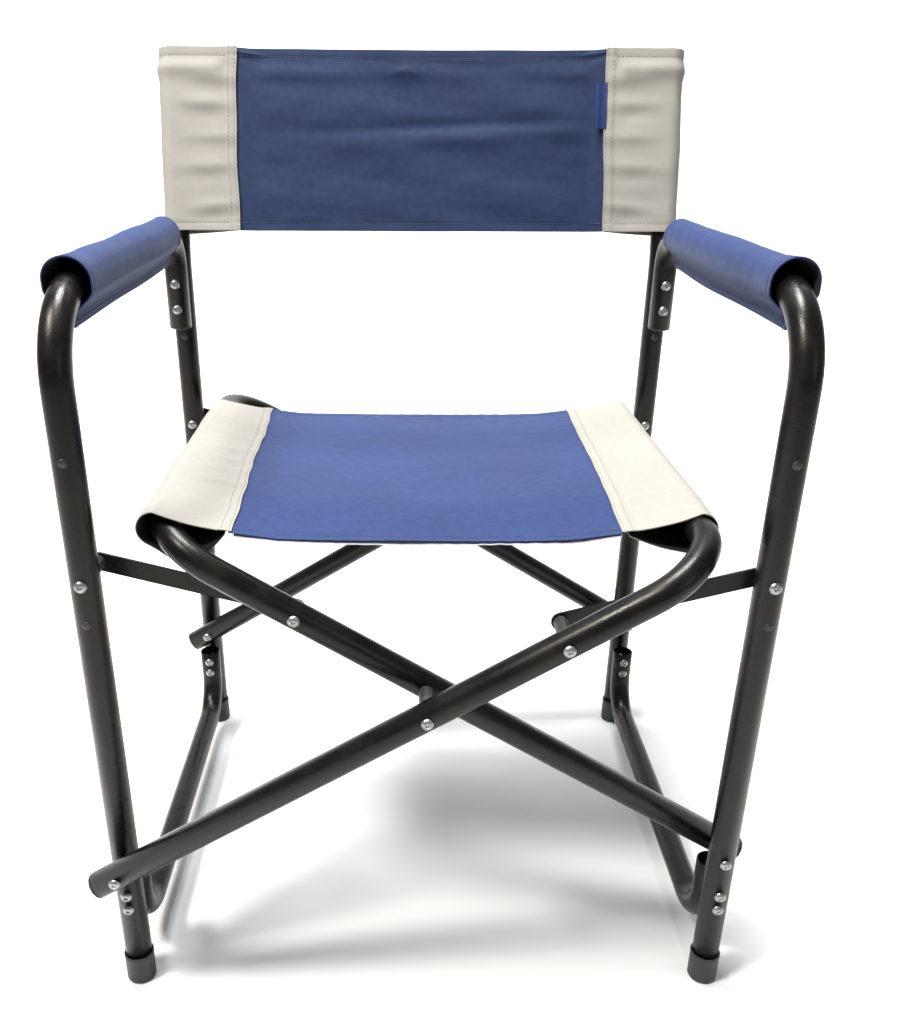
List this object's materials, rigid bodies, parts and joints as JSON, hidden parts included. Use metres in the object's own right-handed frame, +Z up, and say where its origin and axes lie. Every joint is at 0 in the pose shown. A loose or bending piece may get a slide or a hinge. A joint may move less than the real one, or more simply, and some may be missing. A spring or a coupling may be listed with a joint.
{
  "type": "folding director chair",
  "caption": "Folding steel-tube director chair with crossed U frames, two arm frames, a slung cloth seat, a cloth back between the posts and cloth arm sleeves.",
  "frame": {"origin": "on the floor, under the centre of the open chair's bounding box", "axes": "+Z up, the sitter faces -Y, +X to the right when looking along +Y at the chair's front"},
  "size_m": [0.6072, 0.5724, 0.8423],
  "materials": {
    "black_tube": "semi-gloss black powder coat",
    "bright_rivet": "dull zinc",
    "black_plastic": "moulded satin",
    "blue_cloth": "coated polyester weave",
    "pale_cloth": "coated polyester weave"
  },
  "bodies": {
    "left_frame": {"back_cloth": "pale_cloth", "left_arm_plug": "black_plastic", "left_arm_rivet_1": "bright_rivet", "left_arm_rivet_2": "bright_rivet", "left_arm_sleeve": "blue_cloth", "left_back_post": "black_tube", "left_floor_rail": "black_tube", "left_front_foot": "black_plastic", "left_front_pivot_rivet": "bright_rivet", "left_front_rail_rivet_1": "bright_rivet", "left_front_rail_rivet_2": "bright_rivet", "left_front_strut_leg_rivet": "bright_rivet", "left_front_strut_spacer": "black_plastic", "left_leg_and_arm_tube": "black_tube", "left_post_cap": "black_plastic", "left_rear_foot": "black_plastic", "left_rear_pivot_rivet": "bright_rivet", "left_rear_rail_rivet_1": "bright_rivet", "left_rear_rail_rivet_2": "bright_rivet", "left_rear_strut_leg_rivet": "bright_rivet", "left_rear_strut_spacer": "black_plastic"},
    "frame_a": {"frame_a_front_plug": "black_plastic", "frame_a_rear_plug": "black_plastic", "frame_a_tube": "black_tube", "front_cross_rivet": "bright_rivet", "front_cross_spacer": "black_plastic", "rear_cross_rivet": "bright_rivet", "rear_cross_spacer": "black_plastic", "right_front_strut_cross_rivet": "bright_rivet", "right_front_strut_spacer": "black_plastic", "right_rear_strut_cross_rivet": "bright_rivet", "right_rear_strut_spacer": "black_plastic"},
    "frame_b": {"frame_b_front_plug": "black_plastic", "frame_b_rear_plug": "black_plastic", "frame_b_tube": "black_tube", "left_front_strut_cross_rivet": "bright_rivet", "left_rear_strut_cross_rivet": "bright_rivet", "seat_cloth": "blue_cloth"},
    "right_frame": {"right_arm_plug": "black_plastic", "right_arm_rivet_1": "bright_rivet", "right_arm_rivet_2": "bright_rivet", "right_arm_sleeve": "blue_cloth", "right_back_post": "black_tube", "right_floor_rail": "black_tube", "right_front_foot": "black_plastic", "right_front_pivot_rivet": "bright_rivet", "right_front_rail_rivet_1": "bright_rivet", "right_front_rail_rivet_2": "bright_rivet", "right_front_strut_leg_rivet": "bright_rivet", "right_leg_and_arm_tube": "black_tube", "right_post_cap": "black_plastic", "right_rear_foot": "black_plastic", "right_rear_pivot_rivet": "bright_rivet", "right_rear_rail_rivet_1": "bright_rivet", "right_rear_rail_rivet_2": "bright_rivet", "right_rear_strut_leg_rivet": "bright_rivet"},
    "left_front_strut": {"left_front_strut": "black_tube"},
    "left_rear_strut": {"left_rear_strut": "black_tube"},
    "right_front_strut": {"right_front_strut": "black_tube"},
    "right_rear_strut": {"right_rear_strut": "black_tube"}
  },
  "joints": [
    {"name": "fold", "type": "hinge", "parent": "left_frame", "child": "frame_a", "pos_m": [-0.277, -0.2457, 0.148], "axis": [0, -1, 0], "range_deg": [0, 42.41], "deforming": ["back_cloth"]},
    {"name": "crossing", "type": "hinge", "parent": "frame_a", "child": "frame_b", "pos_m": [0, -0.2457, 0.3177], "axis": [0, -1, 0], "range_deg": [-89.02, 0], "deforming": ["seat_cloth"]},
    {"name": "right_low_pivot", "type": "hinge", "parent": "frame_b", "child": "right_frame", "pos_m": [0.277, -0.2457, 0.148], "axis": [0, -1, 0], "range_deg": [0, 42.41]},
    {"name": "left_front_strut_pin", "type": "hinge", "parent": "left_frame", "child": "left_front_strut", "pos_m": [-0.277, -0.2457, 0.43], "axis": [0, -1, 0], "range_deg": [0, 83.18]},
    {"name": "left_rear_strut_pin", "type": "hinge", "parent": "left_frame", "child": "left_rear_strut", "pos_m": [-0.277, 0.2133, 0.43], "axis": [0, -1, 0], "range_deg": [0, 83.18]},
    {"name": "right_front_strut_pin", "type": "hinge", "parent": "right_frame", "child": "right_front_strut", "pos_m": [0.277, -0.2457, 0.43], "axis": [0, -1, 0], "range_deg": [-83.18, 0]},
    {"name": "right_rear_strut_pin", "type": "hinge", "parent": "right_frame", "child": "right_rear_strut", "pos_m": [0.277, 0.2133, 0.43], "axis": [0, -1, 0], "range_deg": [-83.18, 0]}
  ],
  "couplings": [
    {"joint": "crossing", "follows": "fold", "ratio": -2.0989},
    {"joint": "right_low_pivot", "follows": "fold", "ratio": 1},
    {"joint": "left_front_strut_pin", "follows": "fold", "ratio": 1.9612},
    {"joint": "left_rear_strut_pin", "follows": "fold", "ratio": 1.9612},
    {"joint": "right_front_strut_pin", "follows": "fold", "ratio": -1.9612},
    {"joint": "right_rear_strut_pin", "follows": "fold", "ratio": -1.9612}
  ]
}
